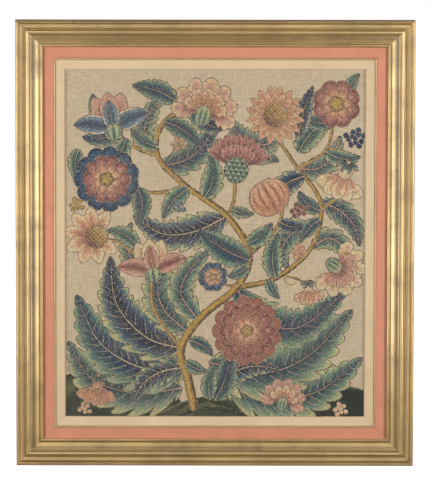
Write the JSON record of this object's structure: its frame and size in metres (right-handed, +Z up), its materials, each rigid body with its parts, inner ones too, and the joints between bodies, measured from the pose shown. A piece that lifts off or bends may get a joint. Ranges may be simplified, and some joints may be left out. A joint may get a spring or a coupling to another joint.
{
  "type": "crewel embroidery panel in a gilt frame",
  "caption": "Upright wall panel: crewel wool flowers and leaves on a linen ground, in a mitred gilt moulding with a coral liner, a gilt fillet and a bevelled cream slip.",
  "frame": {"origin": "on the wall plane, at the middle of the top rail's flat back, where the frame hangs", "axes": "+X to the viewer's right, +Y into the wall, +Z up; the embroidery faces -Y"},
  "size_m": [0.7176, 0.03, 0.8036],
  "materials": {
    "gilt": "gold leaf over a carved and mitred wood moulding, softly rubbed",
    "coral_paint": "matt coral paint on a flat liner",
    "cream_paint": "matt cream paint on a bevelled slip",
    "worked_linen": "natural linen worked in crewel wools",
    "backing_board": "plain unpainted board"
  },
  "bodies": {
    "root": {"moulding_top": "gilt", "moulding_bottom": "gilt", "moulding_left": "gilt", "moulding_right": "gilt", "liner_top": "coral_paint", "liner_bottom": "coral_paint", "liner_left": "coral_paint", "liner_right": "coral_paint", "fillet_top": "gilt", "fillet_bottom": "gilt", "fillet_left": "gilt", "fillet_right": "gilt", "slip_top": "cream_paint", "slip_bottom": "cream_paint", "slip_left": "cream_paint", "slip_right": "cream_paint", "embroidered_cloth": "worked_linen", "backing_board": "backing_board"}
  },
  "joints": []
}
